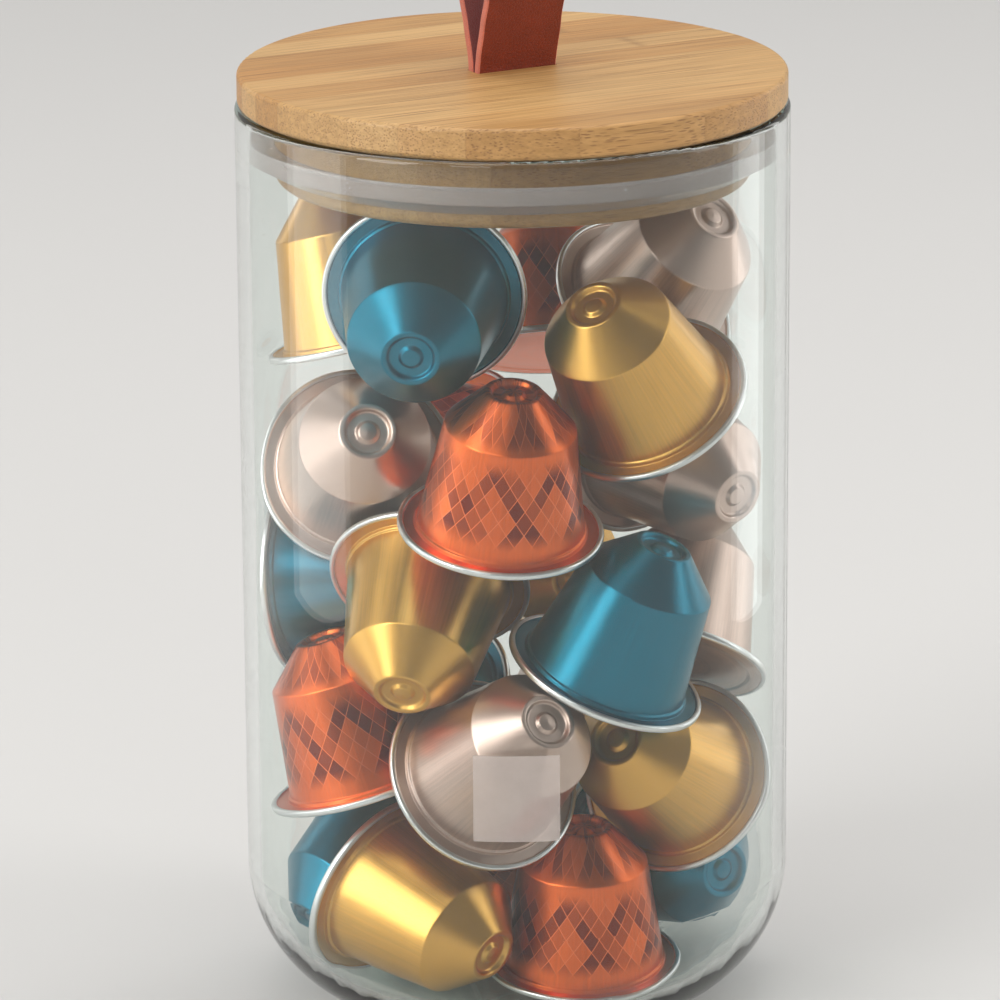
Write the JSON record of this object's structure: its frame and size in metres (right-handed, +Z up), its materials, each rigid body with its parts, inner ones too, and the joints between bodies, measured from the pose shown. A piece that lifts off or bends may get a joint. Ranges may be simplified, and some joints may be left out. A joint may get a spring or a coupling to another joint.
{
  "type": "glass capsule jar",
  "caption": "Round glass storage jar with a deeply rounded base, a bamboo plug lid with a silicone seal and leather pull loop, filled with coffee capsules.",
  "frame": {"origin": "centre of the jar's foot, on the surface that it stands on", "axes": "+Z up along the jar's axis; the picture's viewer looks from -Y toward +Y with +X to the right"},
  "size_m": [0.101, 0.101, 0.2207],
  "materials": {
    "clear_glass": "clear polished glass",
    "bamboo": "sanded laminated bamboo, light oil",
    "silicone": "translucent whitish silicone",
    "leather": "smooth red-brown leather with raw edges",
    "steel": "plain steel screw",
    "capsule_gold": "satin gold-coloured aluminium",
    "capsule_blue": "satin dark blue-green aluminium",
    "capsule_copper": "satin copper-red aluminium with a printed lattice",
    "capsule_taupe": "satin rose-taupe aluminium",
    "foil": "matt silver foil"
  },
  "bodies": {
    "jar": {"glass_jar": "clear_glass", "blue_1_cup": "capsule_blue", "blue_1_foil": "foil", "blue_2_cup": "capsule_blue", "blue_2_foil": "foil", "blue_3_cup": "capsule_blue", "blue_3_foil": "foil", "blue_4_cup": "capsule_blue", "blue_4_foil": "foil", "blue_5_cup": "capsule_blue", "blue_5_foil": "foil", "blue_6_cup": "capsule_blue", "blue_6_foil": "foil", "copper_1_cup": "capsule_copper", "copper_1_foil": "foil", "copper_2_cup": "capsule_copper", "copper_2_foil": "foil", "copper_3_cup": "capsule_copper", "copper_3_foil": "foil", "copper_5_cup": "capsule_copper", "copper_5_foil": "foil", "copper_6_cup": "capsule_copper", "copper_6_foil": "foil", "copper_7_cup": "capsule_copper", "copper_7_foil": "foil", "gold_1_cup": "capsule_gold", "gold_1_foil": "foil", "gold_2_cup": "capsule_gold", "gold_2_foil": "foil", "gold_3_cup": "capsule_gold", "gold_3_foil": "foil", "gold_4_cup": "capsule_gold", "gold_4_foil": "foil", "gold_5_cup": "capsule_gold", "gold_5_foil": "foil", "gold_6_cup": "capsule_gold", "gold_6_foil": "foil", "taupe_1_cup": "capsule_taupe", "taupe_1_foil": "foil", "taupe_2_cup": "capsule_taupe", "taupe_2_foil": "foil", "taupe_3_cup": "capsule_taupe", "taupe_3_foil": "foil", "taupe_4_cup": "capsule_taupe", "taupe_4_foil": "foil", "taupe_5_cup": "capsule_taupe", "taupe_5_foil": "foil", "taupe_6_cup": "capsule_taupe", "taupe_6_foil": "foil"},
    "seal": {"seal_ring": "silicone"},
    "lid": {"lid_disc": "bamboo", "lid_plug": "bamboo", "pull_loop": "leather", "strap_screw_front": "steel", "strap_screw_back": "steel"}
  },
  "joints": [
    {"name": "lid_lift", "type": "slide", "parent": "jar", "child": "seal", "axis": [0, 0, 1], "range_m": [0, 0.045]},
    {"name": "lid_turn", "type": "hinge", "parent": "seal", "child": "lid", "pos_m": [0, 0, 0.1714], "axis": [0, 0, 1], "continuous": true}
  ]
}
